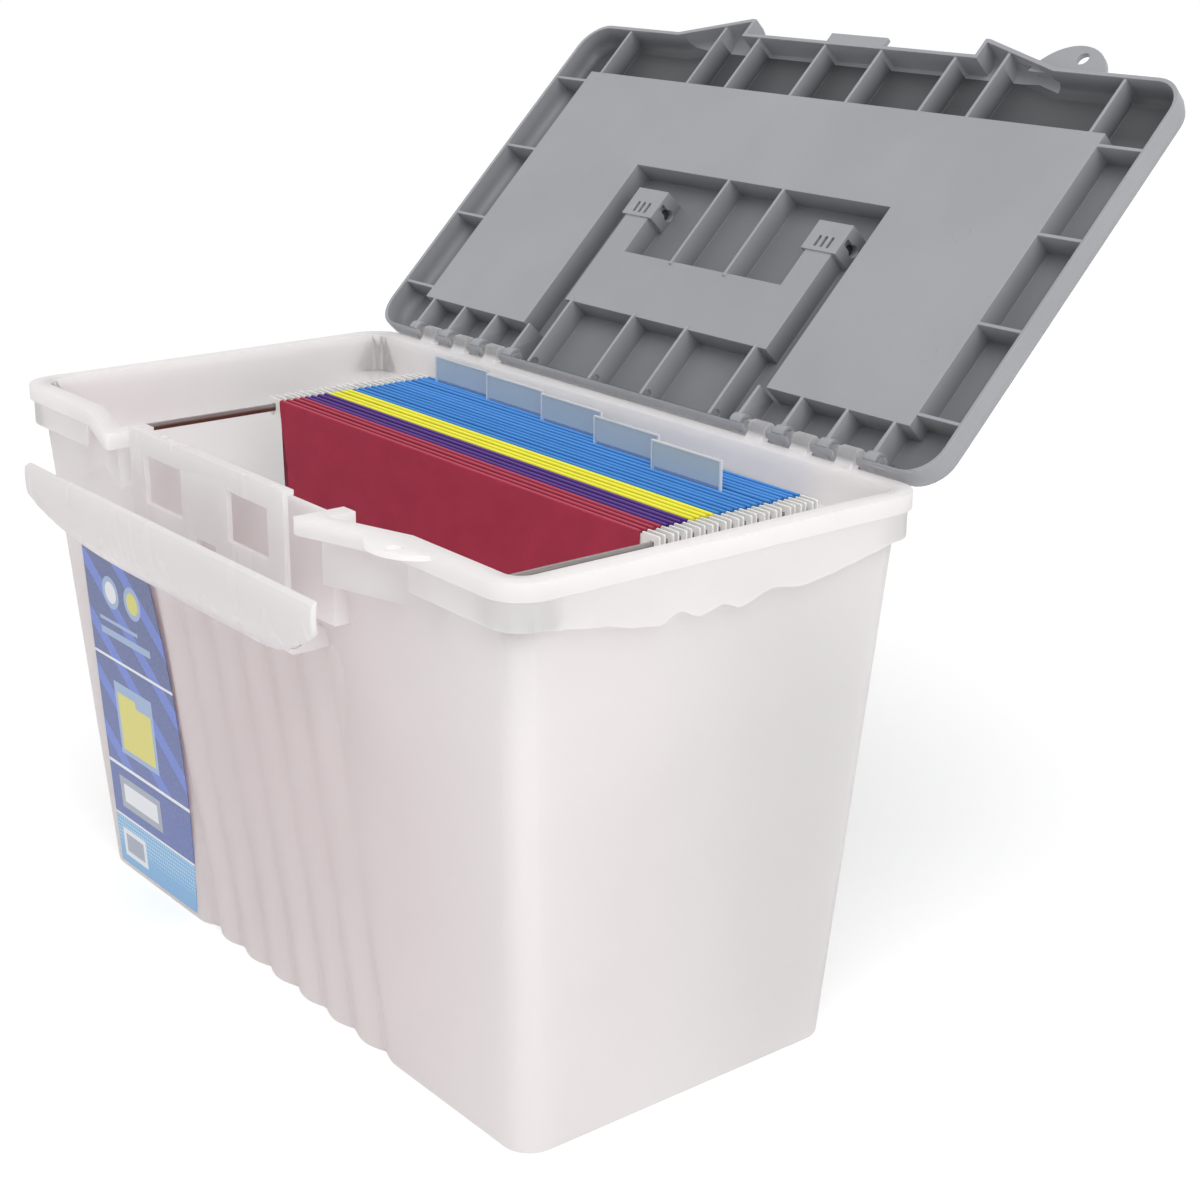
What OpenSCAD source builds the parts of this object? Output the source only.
// Portable file box: translucent tub, hinged lid with a folding carry handle,
// over-centre front latch, and the hanging folders that it carries on two rails.
// X runs along the front, the front faces -Y, Z is up, and the origin is the
// middle of the underside. Lengths are in millimetres, angles in degrees.

/* [Tub] */
// Length of the rim along the front
rim_w = 435; // [400:1:520]
// Depth of the rim from front to back
rim_d = 228; // [216:1:270]
// Height of the rim above the floor
tub_h = 270; // [240:1:320]
// Length of the base along the front
base_w = 387; // [360:1:430]
// Depth of the base from front to back
base_d = 182; // [160:1:200]
// Thickness of the walls of the tub
tub_wall = 2.2; // [1.8:0.1:3]
// Thickness of the floor of the tub
tub_floor = 2.6; // [2:0.1:4]
// Width of the flat flange round the mouth
flange_w = 10; // [8:0.5:12]
// Thickness of the flange
flange_t = 2.4; // [2:0.1:3.5]
// Height of the lip on the edge of the flange
lip_h = 8; // [6:0.5:10]
// Height of the collar, from the top of the flange down
collar_h = 21; // [16:1:26]
// How far the collar stands back from the lip
collar_in = 2; // [1:0.1:3]
// Corner radius of the rim
rim_r = 18; // [12:1:26]
// Corner radius of the base
base_r = 14; // [8:1:20]

/* [Front of the tub] */
// Half the width of the recess between the two horns of the rim
recess_half = 85; // [78:1:95]
// How far the recess wall stands behind the rim's edge
recess_back = 2; // [0:0.5:4]
// How far the recess wall stays under the rim
recess_drop = 1.4; // [1:0.1:3]
// Depth of the recess, from the rim down
recess_h = 52; // [46:0.5:54]
// How far the horns stand in front of the rim
horn_out = 15; // [12:0.5:18]
// Distance from the middle to where each horn grows out of the rim
horn_root = 137; // [130:1:144]
// Distance from the middle to the outer corner of each horn
horn_tip = 88; // [86:1:100]
// Depth of the wall under each horn, from the rim down
horn_h = 30; // [24:1:36]
// How far the wall under each horn stays behind its lip
horn_in = 7.2; // [7:0.1:8]

/* [Lid] */
// How far the lid reaches over each end of the rim
lid_over = 1.5; // [0.5:0.1:2.5]
// How far the front edge of the lid stays behind the rim's edge
lid_short = 4.5; // [3:0.5:6]
// Thickness of the whole lid
lid_t = 16; // [15:0.5:22]
// Thickness of the skin and the walls of the lid
lid_wall = 2.2; // [1.8:0.1:3]
// Rounding of the upper edge of the lid
lid_edge = 8; // [6:0.5:9]
// Corner radius of the lid
lid_r = 18; // [14:1:24]
// Gap between the rim of the closed lid and the flange
lid_gap = 0.2; // [0.1:0.05:0.5]
// How far the horns of the lid stand in front of its edge
lid_horn_out = 14; // [10:0.5:16]
// How far the middle of the front edge stands in front of the lid's edge
lid_mid_out = 3.5; // [2:0.5:5]
// Half the width of the catch ledge on the front edge
ledge_half = 21; // [16:1:30]
// Thickness of the stiffening ribs
rib_t = 1.8; // [1.4:0.1:2.4]
// Gap between the ribs and the plane of the lid's rim
rib_gap = 0.8; // [0.4:0.1:2]
// Distance from the ends of the lid to the sunken tray
tray_side = 28; // [22:1:34]
// Distance from the front edge of the lid to the tray
tray_lead = 34.3; // [28:0.5:40]
// Distance from the rear edge to the rear ends of the tray
tray_near = 24; // [20:1:30]
// Half the width of the raised middle that the tray goes round
middle_half = 97; // [92:1:104]
// Distance from the rear edge to the front of the raised middle
middle_far = 136; // [130:1:142]
// How far the open lid leans back, from closed
lid_open = 135; // [100:1:136]

/* [Hinge] */
// Radius of the hinge pins
pin_r = 2.9; // [2.5:0.1:3.2]
// Radial clearance of the hinge pins in the lid
pin_clear = 0.06; // [0.02:0.01:0.1]
// Height of the hinge axis above the flange
pin_up = 5; // [4.8:0.1:6]
// Distance of the hinge axis behind the edge of the rim
pin_back = 1.5; // [1:0.1:2]
// Distance of the rear edge of the lid behind the hinge axis
lid_back = 4.3; // [4:0.1:4.4]
// Outer radius of the lid's rings round the pins
ring_r = 4.7; // [4.4:0.1:4.8]
// Width of each ring
ring_w = 7; // [5:0.5:9]
// Width of each post that carries a pin
post_w = 11; // [8:1:16]
// Distance from ring to ring along a hinge
ring_pitch = 30; // [28:1:34]
// Distance from the middle to the nearest ring
hinge_from = 92; // [88:1:96]

/* [Handle] */
// Distance between the middles of the two arms of the handle
handle_w = 141; // [130:1:150]
// Distance from the pivots to the far edge of the grip
handle_reach = 65; // [58:1:66]
// Width of each arm
arm_w = 11; // [9:0.5:12]
// Width of the grip
grip_w = 22; // [18:1:24]
// Thickness of the handle
handle_t = 9.6; // [8:0.2:10]
// Distance of the pivots from the rear edge of the lid
pivot_far = 113; // [110:1:118]
// Radius of the handle's pivots
pivot_r = 3; // [2.5:0.1:3.5]
// Radial clearance of the handle's pivots
pivot_clear = 0.06; // [0.02:0.01:0.1]
// Gap between the handle and the sides of its groove
groove_gap = 1.5; // [1:0.1:2.5]
// Length of the finger space in front of the grip
finger_gap = 9; // [7:0.5:12]

/* [Latch] */
// Distance of the lever's axis below the rim
lever_drop = 65; // [62:1:70]
// Distance of the lever's axis in front of the rim's edge
lever_out = 4; // [3:0.5:6]
// Half the width of the lever
lever_half = 133; // [120:1:136]
// Height of the lever above its axis
lever_up = 53; // [46:1:54]
// Height of the lever's lower edge above its axis, in the middle
lever_foot = 3; // [2:0.5:5]
// Height of the tips of the lever
lever_tip = 12; // [8:1:16]
// How far the face of the lever is arched
lever_arch = 9; // [5:0.5:11]
// Thickness of the lever and of the clamp
latch_t = 2.6; // [2.2:0.1:3]
// How far the open lever leans out
lever_open = 28.5; // [26:0.1:34]
// Distance between the lever's axis and the clamp's axis
crank = 6; // [5:0.5:7]
// Half the width of the clamp
clamp_half = 70; // [60:1:74]
// Half the width of the clamp's middle column
column_half = 21; // [16:1:28]
// Half the width of the clamp's lower flap
flap_half = 52; // [40:1:52]
// Half the width of the notch in the lower flap
notch_half = 9; // [6:1:14]
// Radius of the latch pins
latch_pin_r = 2.2; // [2:0.1:2.4]
// Radial clearance of the latch pins
latch_clear = 0.06; // [0.02:0.01:0.1]

/* [Padlock ears] */
// Distance of the padlock hole from the middle
ear_x = 147; // [144:1:152]
// Radius of the padlock hole
ear_hole_r = 3.5; // [3:0.1:4.5]
// Radius of the rounded front of the ears
ear_r = 24; // [20:0.5:28]
// How far the ears reach in front of the hole
ear_lead = 8; // [7:0.5:10]
// Distance of the padlock hole in front of the rim's edge
ear_out = 5.5; // [5:0.5:8]
// Thickness of the ear on the lid
ear_t = 3; // [2.4:0.1:4]
// Height of the ear on the lid above the lid's rim
ear_up = 4; // [0:0.5:6]

/* [Rails and folders] */
// Distance of each rail beyond the ends of the folders
rail_out = 7; // [6:0.5:8]
// Distance of the top of the rails below the rim
rail_down = 18; // [16:1:22]
// Height of each rail
rail_h = 4; // [3:0.5:8]
// Thickness of each rail
rail_t = 1.6; // [1.2:0.1:2.4]
// Width of a hanging folder
leaf_w = 302; // [296:1:304]
// Distance from one folder leaf to the next
leaf_pitch = 3.8; // [3.6:0.05:4]
// Place of the first leaf behind the middle of the box
leaf_first = 5; // [4:0.5:8]
// Thickness of the folder board
board_t = 0.4; // [0.3:0.05:0.5]
// Thickness of the steel hanger strips
strip_t = 0.9; // [0.8:0.05:1]
// Height of the hanger strips
strip_h = 8; // [6:0.5:9]
// Height of the folders' lower fold above the floor of the tub
fold_gap = 12; // [8:1:20]
// Width of an index tab
tab_w = 50; // [46:1:52]
// Distance from one index tab to the next along the box
tab_pitch = 53.5; // [53:0.5:56]
// Height of the index tabs above the folders
tab_up = 14; // [10:0.5:14]
// Thickness of an index tab
tab_t = 1.4; // [1.3:0.05:1.5]

/* [Label] */
// Width of the printed label at its lower edge
label_w = 84; // [60:1:90]
// Height of the printed label
label_h = 186; // [120:1:190]
// Thickness of the printed label
label_t = 0.3; // [0.2:0.05:0.5]

/* [Hidden] */
$fn = 48;

// Facets of the rounded corners inside a hull
soft_fn = 32;
// Overlap that fuses two parts of one moulding
bite = 0.4;
// Long enough to cut through anything
far = 400;

// Half sizes of the rim, the collar under it and the wall below
rim_x = rim_w / 2;
rim_y = rim_d / 2;
mouth_x = rim_x - flange_w;
mouth_y = rim_y - flange_w;
wall_x = mouth_x + tub_wall;
wall_y = mouth_y + tub_wall;
wall_top = tub_h - collar_h;
recess_y = rim_y - recess_back;
recess_z = tub_h - recess_h;
horn_z = tub_h - horn_h;
wall_r = rim_r - flange_w + tub_wall;

// Height at which the wall of the tub stands y in front of the middle
function wall_at(z) = base_d / 2 + (wall_y - base_d / 2) * z / wall_top;

// Hinge axis, and the closed lid's rim and rear edge
pin_y = rim_y + pin_back;
pin_z = tub_h + pin_up;
lid_z = tub_h + lid_gap;
lid_w = rim_w + 2 * lid_over;
lid_rear = pin_y + lid_back;
lid_front = -rim_y + lid_short;
lid_d = lid_rear - lid_front;
lid_top = lid_z + lid_t;
ceiling_z = lid_top - lid_wall;
rib_z = lid_z + rib_gap;
hinge_end = hinge_from + 3 * ring_pitch;

// Place of a point at a distance from the lid's rear edge
function from_rear(d) = lid_rear - d;

// The sunken tray and the groove that takes the handle
tray_half = lid_w / 2 - tray_side;
tray_far = lid_d - tray_lead;
tray_z = lid_z + rib_gap;
groove_floor = lid_top - handle_t - 2.4;
pivot_y = from_rear(pivot_far);
pivot_z = lid_top - 1 - handle_t / 2;
groove_half_in = handle_w / 2 - arm_w / 2 - groove_gap;
groove_half_out = handle_w / 2 + arm_w / 2 + groove_gap;
grip_front = pivot_y + handle_reach - grip_w;
groove_front = grip_front - finger_gap;
groove_rear = pivot_y + handle_reach + groove_gap;
groove_far = pivot_y - handle_t / 2 - groove_gap;
pivot_half = groove_half_out + lid_wall - 0.2;

// Lever axis A and clamp axis B, with the latch closed
lever_y = -rim_y - lever_out;
lever_z = tub_h - lever_drop;
clamp_dy = crank * sin(lever_open);
clamp_dz = crank * cos(lever_open);
clamp_y = lever_y + clamp_dy;
clamp_z = lever_z + clamp_dz;

// Catch ledge on the lid, and the clamp that closes on it
skirt_y = lid_front - lid_mid_out;
ledge_tip = skirt_y - 5.5;
ledge_t = 2.8;
hook_z = lid_z + ledge_t + 0.2;
hook_in = 3;
clamp_top = hook_z + latch_t;
clamp_back = ledge_tip - 0.8;
clamp_low = lever_z + 10.5;
lever_back = clamp_back - latch_t - 0.8;

// Padlock ears
ear_y = -rim_y - ear_out;

// Folders: the strips hang on the rails with a hook at each end
rail_top = tub_h - rail_down;
strip_low = rail_top - 5;
strip_top = strip_low + strip_h;
leaf_low = tub_floor + fold_gap;
sleeve_in = strip_t / 2 + 0.1;
sleeve_out = sleeve_in + board_t;
sleeve_top = strip_top + 0.1 + board_t;
rail_x = leaf_w / 2 + rail_out;
crimson_n = 2;
purple_n = 2;
yellow_n = 2;
// The blue folders fill the rest of the box
rear_room = 3.5;
folder_n = floor((1 + (mouth_y - rear_room - leaf_first) / leaf_pitch) / 2);
blue_n = folder_n - crimson_n - purple_n - yellow_n;
leaf_n = 2 * folder_n;
// The leaves that carry the index tabs
tab_leaf = [leaf_n - 1, leaf_n - 2, leaf_n - 3, leaf_n - 5, leaf_n - 7];

// Place of a leaf, counted from the front
function leaf_y(i) = leaf_first + i * leaf_pitch;

// The leaves close up towards the floor, because the tub narrows
fan = (wall_at(leaf_low) - tub_wall - 3 - leaf_first) / (leaf_y(leaf_n - 1) - leaf_first);
function fold_y(i) = leaf_first + (leaf_y(i) - leaf_first) * fan;

// Rectangle with rounded corners, centred on the origin
module rounded(w, d, r) {
    square([w - 2 * r, d], center = true);
    square([w, d - 2 * r], center = true);
    for (sx = [-1, 1])
        for (sy = [-1, 1])
            translate([sx * (w / 2 - r), sy * (d / 2 - r)]) circle(r);
}

// Both halves of something that is the same left and right
module both_sides() {
    children();
    mirror([1, 0, 0]) children();
}

// A flat shape drawn in Y and Z, made w wide along X and centred on x
module across(x, w) {
    translate([x - w / 2, 0, 0])
        rotate([90, 0, 90])
            linear_extrude(w) children();
}

// A flat shape drawn in X and Z, made t thick from y towards the back
module upright(y, t) {
    translate([0, y + t, 0])
        rotate([90, 0, 0])
            linear_extrude(t) children();
}

// Moves a piece of the closed lid to where it is with the lid open
module opened_lid() {
    translate([0, pin_y, pin_z])
        rotate([-lid_open, 0, 0])
            translate([0, -pin_y, -pin_z]) children();
}

// Moves the closed lever to where it rests when the latch is open
module opened_lever() {
    translate([0, lever_y, lever_z])
        rotate([lever_open, 0, 0])
            translate([0, -lever_y, -lever_z]) children();
}

// ---- Tub ----

// Tapered body, grown by g on the outside or shrunk with a negative g
module tub_body(low, g) {
    hull() {
        translate([0, 0, low])
            linear_extrude(0.01)
                rounded(base_w + 2 * g, base_d + 2 * g, base_r + g, $fn = soft_fn);
        translate([0, 0, wall_top])
            linear_extrude(collar_h - bite)
                rounded(2 * (wall_x + g), 2 * (wall_y + g), wall_r + g, $fn = soft_fn);
    }
}

// Plan of the two horns, drawn in by g: pointed, with a sloped outer side
module horn_plan(g) {
    slope = horn_out / (horn_root - horn_tip);
    back = g * sqrt(1 + slope * slope);
    inner = recess_half + g;
    both_sides()
        intersection() {
            translate([inner, -rim_y - horn_out + g])
                square([far, horn_out + flange_w - g]);
            polygon([
                [inner, -mouth_y], [inner, back - rim_y - slope * (horn_root - inner)],
                [horn_root + (flange_w - back) / slope, -mouth_y]
            ]);
        }
}

// Plan of a padlock ear, in front of the edge it grows out of
module ear_plan(edge) {
    intersection() {
        translate([ear_x - 4, ear_y - ear_lead + ear_r]) circle(ear_r);
        translate([ear_x - 4 - ear_r, edge - far]) square([2 * ear_r, far]);
    }
}

// Flange, its lip and the collar, as one ring
module tub_rim() {
    translate([0, 0, tub_h - lip_h]) linear_extrude(lip_h) {
        rounded(rim_w, rim_d, rim_r);
        horn_plan(0);
    }
    translate([0, 0, wall_top]) linear_extrude(collar_h - bite)
        rounded(rim_w - 2 * collar_in, rim_d - 2 * collar_in, rim_r - collar_in);
}

// Space under the flange, between the wall and the lip
module rim_hollow() {
    under = tub_h - flange_t;
    skirt = collar_in + tub_wall;
    difference() {
        translate([0, 0, wall_top - 1]) linear_extrude(under - wall_top + 1) {
            rounded(rim_w - 2 * skirt, rim_d - 2 * skirt, rim_r - skirt);
            horn_plan(tub_wall);
        }
        translate([0, 0, wall_top - 2]) linear_extrude(collar_h + 2)
            rounded(2 * wall_x, 2 * wall_y, wall_r);
        translate([0, 0, wall_top - 2]) linear_extrude(collar_h + 2)
            horn_plan(horn_in);
    }
}

// The front collar is open between the corners, where the lever closes
module lever_way() {
    way = horn_root + 8;
    translate([-way, -rim_y - 1, wall_top - 1])
        cube([2 * way, collar_in + tub_wall + 1.2, collar_h - lip_h + 1]);
}

// Post that carries the hinge pin, cut to the length w
module pin_post(x, w) {
    across(x, w) {
        translate([pin_y, pin_z]) circle(pin_r + 1);
        translate([pin_y, pin_z])
            polygon([
                [-7, -pin_up - bite], [-pin_back - 0.2, -pin_up - bite],
                [2.4, -2.4], [-2.4, 1]
            ]);
    }
}

// One hinge: a pin on three posts
module tub_hinge() {
    across((hinge_from + hinge_end) / 2, hinge_end - hinge_from + ring_w + 3)
        translate([pin_y, pin_z]) circle(pin_r);
    for (k = [0:2])
        pin_post(hinge_from + (k + 0.5) * ring_pitch, post_w);
}

// Two ears that carry the lever's pins
module lever_ear() {
    reach = -wall_at(lever_z) + tub_wall / 2;
    difference() {
        across(62.5, 5) {
            translate([lever_y, lever_z]) circle(4.6);
            translate([lever_y, lever_z - 4.6]) square([reach - lever_y, 9.2]);
        }
        across(62.5, 6) translate([lever_y, lever_z]) circle(latch_pin_r + latch_clear);
    }
}

// Slotted boss that holds one end of a rail, on the front or the rear wall
module rail_boss(side, boss_d) {
    slot = rail_t + 0.3;
    difference() {
        translate([rail_x - 5, side * (mouth_y - boss_d / 2 + bite) - boss_d / 2, rail_top - 22])
            cube([10, boss_d, 22]);
        translate([rail_x - slot / 2, -far / 2, rail_top - rail_h]) cube([slot, far, far]);
    }
}

// Flange, lip and collar, hollow below and open in front for the lever
module rim_ring() {
    difference() {
        tub_rim();
        rim_hollow();
        lever_way();
        translate([-recess_half, -far - recess_y, wall_top - 2])
            cube([2 * recess_half, far, far]);
    }
}

module tub() {
    color([0.93, 0.93, 0.95, 0.6])
    difference() {
        union() {
            difference() {
                union() {
                    tub_body(0, 0);
                    rim_ring();
                    // Wall of the recess behind the latch
                    translate([-recess_half - tub_wall, -recess_y, recess_z])
                        cube([2 * (recess_half + tub_wall), 20, tub_h - recess_drop - recess_z]);
                    // Walls under the two horns
                    translate([0, 0, horn_z]) linear_extrude(tub_h - horn_z - bite)
                        horn_plan(horn_in);
                }
                // Inside of the tub
                tub_body(tub_floor, -tub_wall);
                translate([0, 0, wall_top]) linear_extrude(far)
                    rounded(2 * mouth_x, 2 * mouth_y, wall_r - tub_wall);
                translate([-recess_half, -recess_y + tub_wall, recess_z + tub_wall])
                    cube([2 * recess_half, 20, far]);
                translate([0, 0, horn_z + tub_wall]) linear_extrude(far)
                    horn_plan(horn_in + tub_wall);
                // The wall behind the latch stays under the rim
                translate([-recess_half, -recess_y - 1, tub_h - recess_drop])
                    cube([2 * recess_half, 14, far]);
            }
            // Padlock ear
            translate([0, 0, tub_h - flange_t]) linear_extrude(flange_t) ear_plan(-rim_y + bite);
            both_sides() {
                tub_hinge();
                lever_ear();
                rail_boss(-1, 9);
                rail_boss(1, mouth_y - leaf_y(leaf_n - 1) - strip_t);
            }
        }
        translate([ear_x, ear_y, tub_h - 20]) cylinder(h = 40, r = ear_hole_r);
    }
}

// ---- Lid, drawn closed ----

// Outer form of the lid, with its upper edge rounded, shrunk by g
module lid_form(g, low) {
    r = lid_edge - g;
    hull()
        for (a = [0, 30, 60, 90]) {
            in = g + r * (1 - cos(a));
            top = lid_top - lid_edge + r * sin(a);
            translate([0, (lid_front + lid_rear) / 2, low])
                linear_extrude(top - low)
                    rounded(lid_w - 2 * in, lid_d - 2 * in, lid_r - in, $fn = soft_fn);
        }
}

// Form of the front edge with its two horns, shrunk by g
module lid_horn_form(g, low) {
    r = lid_edge - g;
    front = lid_front - lid_horn_out;
    root = horn_root + 3;
    hull()
        for (a = [0, 30, 60, 90]) {
            in = g + r * (1 - cos(a));
            top = lid_top - lid_edge + r * sin(a);
            translate([0, 0, low])
                linear_extrude(top - low)
                    polygon([
                        [-root + in / 2, lid_front + 12], [-root + in / 2, lid_front + in],
                        [-horn_tip + in / 2, front + in], [horn_tip - in / 2, front + in],
                        [root - in / 2, lid_front + in], [root - in / 2, lid_front + 12]
                    ]);
        }
}

// Plan of the sunken tray, which goes round three sides of the middle
module tray_plan(g) {
    difference() {
        translate([-tray_half + g, from_rear(tray_far) + g])
            square([2 * (tray_half - g), tray_far - tray_near - 2 * g]);
        translate([-middle_half - g, from_rear(middle_far) - g])
            square([2 * (middle_half + g), far]);
    }
}

// Plan of the groove that takes the folded handle
module groove_plan(g) {
    difference() {
        translate([-groove_half_out - g, groove_far - g])
            square([2 * (groove_half_out + g), groove_rear - groove_far + 2 * g]);
        translate([-groove_half_in + g, groove_far - far])
            square([2 * (groove_half_in - g), far + groove_front - g - groove_far]);
    }
}

// Ring of the lid round a hinge pin, with the web that carries it
module pin_ring(x) {
    across(x, ring_w)
        translate([pin_y, pin_z]) {
            circle(ring_r);
            translate([-ring_r, 0]) square([ring_r + lid_back - 1, ceiling_z - pin_z + bite]);
        }
}

// Rib that stands square to the front edge, from y0 to y1
module rib(x, y0, y1) {
    translate([x - rib_t / 2, y0, rib_z]) cube([rib_t, y1 - y0, ceiling_z - rib_z + bite]);
}

module lid_ribs() {
    tray_front = from_rear(tray_far);
    for (x = [21, 73]) {
        rib(x, skirt_y + bite, tray_front + bite);
        rib(x, groove_rear + bite, lid_rear - bite);
    }
    rib(21, from_rear(middle_far) - bite, groove_front);
    rib(105, lid_front - 12, tray_front + bite);
    rib(182, lid_front + bite, tray_front + bite);
    // Short ribs from the tray to the ends of the lid
    for (d = [31, 83, 135, 188])
        translate([tray_half - bite, from_rear(d) - rib_t / 2, rib_z])
            cube([lid_w / 2 - tray_half - bite, rib_t, ceiling_z - rib_z + bite]);
    // Ribs behind the tray, in line with the hinge
    for (x = [hinge_from, hinge_end])
        rib(x, from_rear(tray_near) - bite, pin_y);
    for (x = [hinge_from + ring_pitch, hinge_end - ring_pitch])
        rib(x, from_rear(tray_near) - bite, pin_y);
}

// Openings in the rear edge that let the posts of the tub through
module post_windows() {
    for (k = [0:2])
        translate([hinge_from + (k + 0.5) * ring_pitch, pin_y, 0])
            translate([-post_w / 2 - 2, 1, lid_z - 1])
                cube([post_w + 4, 12, pin_z + 4.6 - lid_z + 1]);
}

// Room for the turning rear edge: it is round about the hinge axis
module rear_relief() {
    difference() {
        translate([-far, pin_y, lid_z - 20]) cube([2 * far, 40, pin_z - lid_z + 20]);
        across(0, 2 * far + 2) translate([pin_y, pin_z]) circle(pin_up - 0.1);
    }
}

// Bearings for the handle: a slotted block on each side of the end of the groove
module pivot_housing() {
    for (x = [groove_half_in - lid_wall - 1.5, groove_half_out + lid_wall + 1.5])
        across(x, 3)
            difference() {
                translate([pivot_y - 9, lid_z + 0.9]) square([18, ceiling_z - lid_z]);
                translate([pivot_y - 1.8, lid_z]) square([3.6, pivot_z - lid_z]);
            }
    translate([groove_half_in - lid_wall - 3, pivot_y - 9, lid_z + 0.9])
        cube([groove_half_out - groove_half_in + 2 * lid_wall + 6, 18, groove_floor - lid_z - 2]);
}

// Three slots through the floor of the groove under each pivot
module bearing_slots() {
    for (k = [-1:1])
        translate([handle_w / 2 + 4.4 * k - 1, pivot_y, lid_z]) cube([2, 6.5, groove_floor - lid_z + 1]);
}

module lid_closed() {
    difference() {
        union() {
            difference() {
                union() {
                    lid_form(0, lid_z);
                    lid_horn_form(0, lid_z);
                }
                difference() {
                    union() {
                        lid_form(lid_wall, lid_z - 1);
                        lid_horn_form(lid_wall, lid_z - 1);
                    }
                    // Walls between the horns and the middle of the front
                    translate([-recess_half - lid_wall, -far + skirt_y + lid_wall, 0])
                        cube([2 * (recess_half + lid_wall), far, far]);
                }
            }
            translate([0, 0, tray_z]) linear_extrude(lid_top - tray_z - 1) tray_plan(0);
            translate([0, 0, groove_floor - lid_wall])
                linear_extrude(lid_top - groove_floor + lid_wall - 1) groove_plan(lid_wall);
            intersection() {
                both_sides() lid_ribs();
                union() {
                    lid_form(lid_wall / 2, lid_z);
                    lid_horn_form(lid_wall / 2, lid_z);
                }
            }
            both_sides() {
                pivot_housing();
                for (k = [0:3])
                    pin_ring(hinge_from + k * ring_pitch);
            }
            // Catch ledge for the clamp
            translate([-ledge_half, ledge_tip, lid_z])
                cube([2 * ledge_half, skirt_y - ledge_tip + bite, ledge_t]);
            // Padlock ear
            translate([0, 0, lid_z + ear_up]) linear_extrude(ear_t) ear_plan(lid_front + bite);
        }
        // The front edge steps back between the horns
        difference() {
            translate([-recess_half, -far + skirt_y, 0]) cube([2 * recess_half, far, far]);
            translate([-ledge_half, ledge_tip, lid_z]) cube([2 * ledge_half, 20, ledge_t]);
        }
        translate([0, 0, tray_z + lid_wall]) linear_extrude(far) tray_plan(lid_wall);
        translate([0, 0, groove_floor]) linear_extrude(far) groove_plan(0);
        both_sides() {
            post_windows();
            bearing_slots();
            across(handle_w / 2, 40)
                translate([pivot_y, pivot_z]) circle(pivot_r + pivot_clear);
        }
        across(0, far) translate([pin_y, pin_z]) circle(pin_r + pin_clear);
        rear_relief();
        translate([ear_x, ear_y, lid_z - 5]) cylinder(h = 40, r = ear_hole_r);
    }
}

module lid() {
    color([0.60, 0.61, 0.63]) opened_lid() lid_closed();
}

// ---- Carry handle, drawn folded into the closed lid ----

module handle_closed() {
    outer = handle_w / 2 + arm_w / 2;
    low = pivot_z - handle_t / 2;
    corner = 12;
    difference() {
        union() {
            translate([0, 0, low]) linear_extrude(handle_t) {
                translate([-outer, pivot_y]) square([arm_w, handle_reach - corner]);
                translate([outer - arm_w, pivot_y]) square([arm_w, handle_reach - corner]);
                translate([-outer + corner, grip_front]) square([2 * (outer - corner), grip_w]);
                translate([-outer, grip_front]) square([2 * outer, grip_w - corner]);
                for (s = [-1, 1])
                    translate([s * (outer - corner), grip_front + grip_w - corner]) circle(corner);
            }
            both_sides()
                across(handle_w / 2, arm_w)
                    translate([pivot_y, pivot_z]) circle(handle_t / 2);
        }
        // Hollow under the grip
        translate([-outer + corner, grip_front + 3, low - 1])
            cube([2 * (outer - corner), grip_w - 6, handle_t - 3]);
    }
    both_sides() {
        across((groove_half_in + pivot_half) / 2 - 1, pivot_half - groove_half_in + 2)
            translate([pivot_y, pivot_z]) circle(pivot_r);
    }
}

module handle() {
    color([0.20, 0.20, 0.21]) opened_lid() handle_closed();
}

// ---- Latch, drawn closed ----

// Crescent outline of the lever, straight at the top and curved below
module lever_face() {
    rise = lever_up - lever_foot - lever_tip;
    r = (lever_half * lever_half + rise * rise) / (2 * rise);
    intersection() {
        translate([-lever_half, lever_z + lever_foot])
            square([2 * lever_half, lever_up - lever_foot]);
        translate([0, lever_z + lever_foot + r]) circle(r, $fn = 180);
    }
}

// Section of the arched face, from the lower to the upper edge
module lever_shell() {
    half = (lever_up - lever_foot) / 2;
    r = (half * half + lever_arch * lever_arch) / (2 * lever_arch);
    translate([lever_back + r - lever_arch, lever_z + lever_foot + half])
        difference() {
            circle(r + latch_t, $fn = 120);
            circle(r, $fn = 120);
            translate([-r / 4, -far]) square([far, 2 * far]);
        }
}

module lever_closed() {
    intersection() {
        across(0, 2 * lever_half + 2) lever_shell();
        upright(lever_back - 40, 40 + latch_t) lever_face();
    }
    both_sides() {
        // Ear and pin on the tub's ears
        across(56.5, 5)
            translate([lever_y, lever_z]) {
                circle(4);
                polygon([[0, -4], [-9.4, 7], [-12.8, 17], [0, 4]]);
            }
        across(60.5, 9) translate([lever_y, lever_z]) circle(latch_pin_r);
        // Ear that carries the clamp
        difference() {
            across(36, 4) {
                translate([clamp_y, clamp_z]) circle(3.8);
                translate([lever_y, lever_z])
                    polygon([[clamp_dy, 1.6], [-6, 1], [-9.4, 9], [clamp_dy, 9]]);
            }
            across(36, 5) translate([clamp_y, clamp_z]) circle(latch_pin_r + latch_clear);
        }
    }
}

module latch_lever() {
    color([0.90, 0.91, 0.93, 0.6]) opened_lever() lever_closed();
}

// Front view of the clamp: two windows beside a middle column, and a notched flap
module clamp_face() {
    bar = lever_z + 22;
    difference() {
        union() {
            translate([-clamp_half, bar]) square([2 * clamp_half, clamp_top - bar]);
            translate([-flap_half, clamp_low]) square([2 * flap_half, bar - clamp_low + bite]);
        }
        both_sides()
            translate([column_half, bar + 15]) square([clamp_half - column_half - 14, 23]);
        translate([-notch_half, clamp_low - 1]) square([2 * notch_half, bar + 10 - clamp_low]);
    }
}

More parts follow.
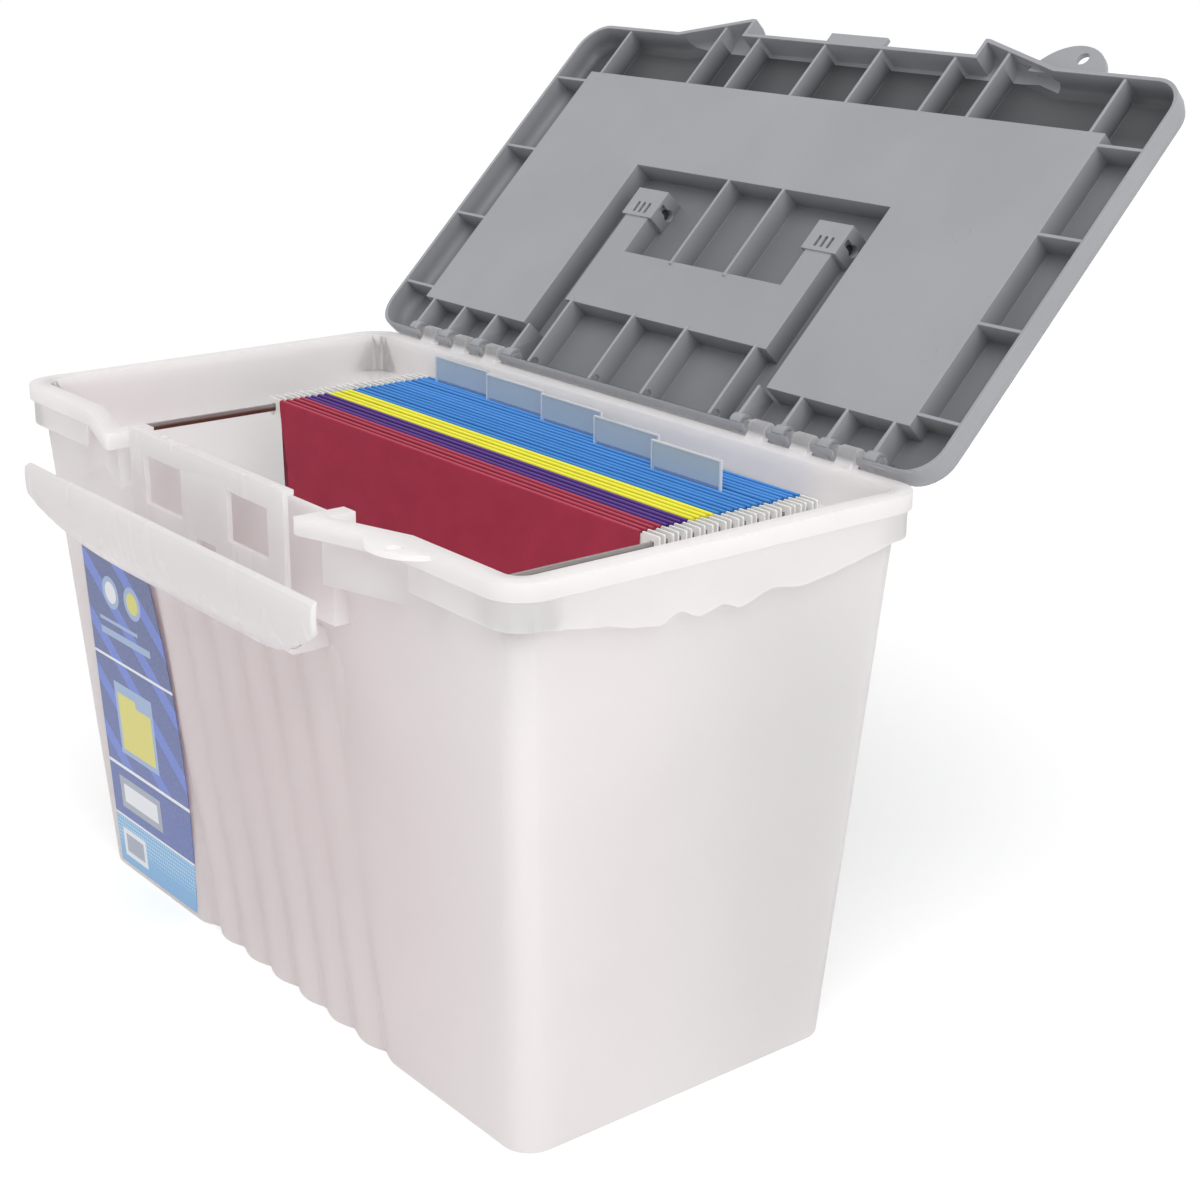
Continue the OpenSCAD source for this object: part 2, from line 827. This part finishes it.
module clamp_closed() {
    upright(clamp_back - latch_t, latch_t) clamp_face();
    // Hook over the catch ledge
    translate([-clamp_half, clamp_back - bite, hook_z])
        cube([2 * clamp_half, hook_in + bite, latch_t]);
    both_sides() {
        across(30.75, 4.5) {
            translate([clamp_y, clamp_z]) circle(3.6);
            translate([clamp_back - bite, clamp_z])
                square([clamp_y - clamp_back + bite, 3.6]);
            translate([clamp_back - bite, clamp_z]) square([bite + 2, 14]);
        }
        across(35.4, 5) translate([clamp_y, clamp_z]) circle(latch_pin_r);
    }
}

// The crank lifts the clamp and carries it forward as the lever opens
module latch_clamp() {
    color([0.90, 0.91, 0.93, 0.6])
        translate([0, -clamp_dy, crank - clamp_dz]) clamp_closed();
}

// ---- Rails and label ----

module rail(side) {
    length = 2 * mouth_y - 1;
    color([0.25, 0.24, 0.24])
        translate([side * rail_x - rail_t / 2, -length / 2, rail_top - rail_h])
            cube([rail_t, length, rail_h]);
}

module rail_left() {
    rail(-1);
}

module rail_right() {
    rail(1);
}

// The label follows the slope of the front wall; its right edge is bowed
module label() {
    lean = atan2(wall_y - base_d / 2, wall_top);
    bow_r = 430;
    low = 3;
    right = -base_w / 2 + base_r + 1.5 + label_w + 6;
    color([0.17, 0.27, 0.62])
        translate([0, -base_d / 2, 0])
            rotate([lean, 0, 0])
                upright(-label_t - 0.05, label_t)
                    intersection() {
                        translate([-base_w / 2 + base_r + 1.5, low]) square([label_w + 6, label_h]);
                        translate([right - bow_r, low + 67]) circle(bow_r, $fn = 180);
                    }
}

// ---- Folders ----

// Section through one folder: two leaves, a fold below and a sleeve on each leaf
module folder_section(i) {
    y0 = leaf_y(i);
    y1 = leaf_y(i + 1);
    low0 = fold_y(i) + sleeve_in;
    low1 = fold_y(i + 1) - sleeve_in;
    hem = strip_low - 1;
    inner_top = sleeve_top - board_t;
    polygon([
        [y0 - sleeve_out, hem], [y0 - sleeve_out, sleeve_top],
        [y0 + sleeve_out, sleeve_top], [y0 + sleeve_out, hem],
        [low0 + board_t, leaf_low + board_t], [low1 - board_t, leaf_low + board_t],
        [y1 - sleeve_out, hem], [y1 - sleeve_out, sleeve_top],
        [y1 + sleeve_out, sleeve_top], [y1 + sleeve_out, hem],
        [y1 + sleeve_in, hem], [y1 + sleeve_in, inner_top],
        [y1 - sleeve_in, inner_top], [y1 - sleeve_in, hem],
        [low1, leaf_low], [low0, leaf_low],
        [y0 + sleeve_in, hem], [y0 + sleeve_in, inner_top],
        [y0 - sleeve_in, inner_top], [y0 - sleeve_in, hem]
    ]);
}

// Front view of a leaf: full width at the strip, narrower below it
module leaf_outline() {
    half = leaf_w / 2;
    polygon([
        [-half, sleeve_top + 1], [-half, sleeve_top - 6], [-half + 2, sleeve_top - 18],
        [-half + 6, sleeve_top - 34], [-half + 8, leaf_low - 1],
        [half - 8, leaf_low - 1], [half - 6, sleeve_top - 34],
        [half - 2, sleeve_top - 18], [half, sleeve_top - 6], [half, sleeve_top + 1]
    ]);
}

module folders(first, count) {
    intersection() {
        across(0, leaf_w)
            for (k = [0:count - 1])
                folder_section(first + 2 * k);
        upright(-2, 2 * far) leaf_outline();
    }
}

// Front view of a hanger strip, hooked over both rails
module strip_outline() {
    half = leaf_w / 2;
    notch = rail_t / 2 + 0.5;
    end = rail_x + 5;
    translate([-half - bite, strip_low]) square([2 * (half + bite), strip_h]);
    both_sides()
        difference() {
            translate([half, strip_low - 2]) square([end - half, strip_h + 2.6]);
            translate([rail_x - notch, strip_low - 3]) square([2 * notch, rail_top + 0.1 - strip_low + 3]);
        }
}

module hangers(first, count) {
    for (k = [0:2 * count - 1])
        upright(leaf_y(first + k) - strip_t / 2, strip_t) strip_outline();
}

module crimson_folders() {
    color([0.66, 0.10, 0.22]) folders(0, crimson_n);
}

module purple_folders() {
    color([0.27, 0.13, 0.45]) folders(2 * crimson_n, purple_n);
}

module yellow_folders() {
    color([0.97, 0.92, 0.20]) folders(2 * (crimson_n + purple_n), yellow_n);
}

module blue_folders() {
    color([0.10, 0.42, 0.80]) folders(2 * (crimson_n + purple_n + yellow_n), blue_n);
}

module crimson_hangers() {
    color("whitesmoke") hangers(0, crimson_n);
}

module purple_hangers() {
    color("whitesmoke") hangers(2 * crimson_n, purple_n);
}

module yellow_hangers() {
    color("whitesmoke") hangers(2 * (crimson_n + purple_n), yellow_n);
}

module blue_hangers() {
    color("whitesmoke") hangers(2 * (crimson_n + purple_n + yellow_n), blue_n);
}

// Index tab number k, counted from the left, clipped in front of its leaf
module tab(k) {
    x = (k - 3) * tab_pitch - tab_w / 2 - 8;
    y = leaf_y(tab_leaf[k - 1]) - sleeve_out - 0.3 - tab_t;
    low = strip_low + 2;
    slot = 0.5;
    color([0.75, 0.85, 0.95, 0.4])
    difference() {
        translate([x, y, low]) cube([tab_w, tab_t, sleeve_top + tab_up - low]);
        translate([x + 1, y + (tab_t - slot) / 2, sleeve_top + 1])
            cube([tab_w - 2, slot, tab_up]);
    }
}

// Paper strip in the slot of index tab number k
module insert(k) {
    x = (k - 3) * tab_pitch - tab_w / 2 - 8;
    y = leaf_y(tab_leaf[k - 1]) - sleeve_out - 0.3 - tab_t;
    paper = 0.3;
    color("white")
        translate([x + 1.5, y + (tab_t - paper) / 2, sleeve_top + 1.1])
            cube([tab_w - 3, paper, tab_up - 1.6]);
}

module tab_1() { tab(1); }
module tab_2() { tab(2); }
module tab_3() { tab(3); }
module tab_4() { tab(4); }
module tab_5() { tab(5); }
module insert_1() { insert(1); }
module insert_2() { insert(2); }
module insert_3() { insert(3); }
module insert_4() { insert(4); }
module insert_5() { insert(5); }

tub();
lid();
handle();
latch_lever();
latch_clamp();
rail_left();
rail_right();
label();
crimson_folders();
purple_folders();
yellow_folders();
blue_folders();
crimson_hangers();
purple_hangers();
yellow_hangers();
blue_hangers();
tab_1();
tab_2();
tab_3();
tab_4();
tab_5();
insert_1();
insert_2();
insert_3();
insert_4();
insert_5();
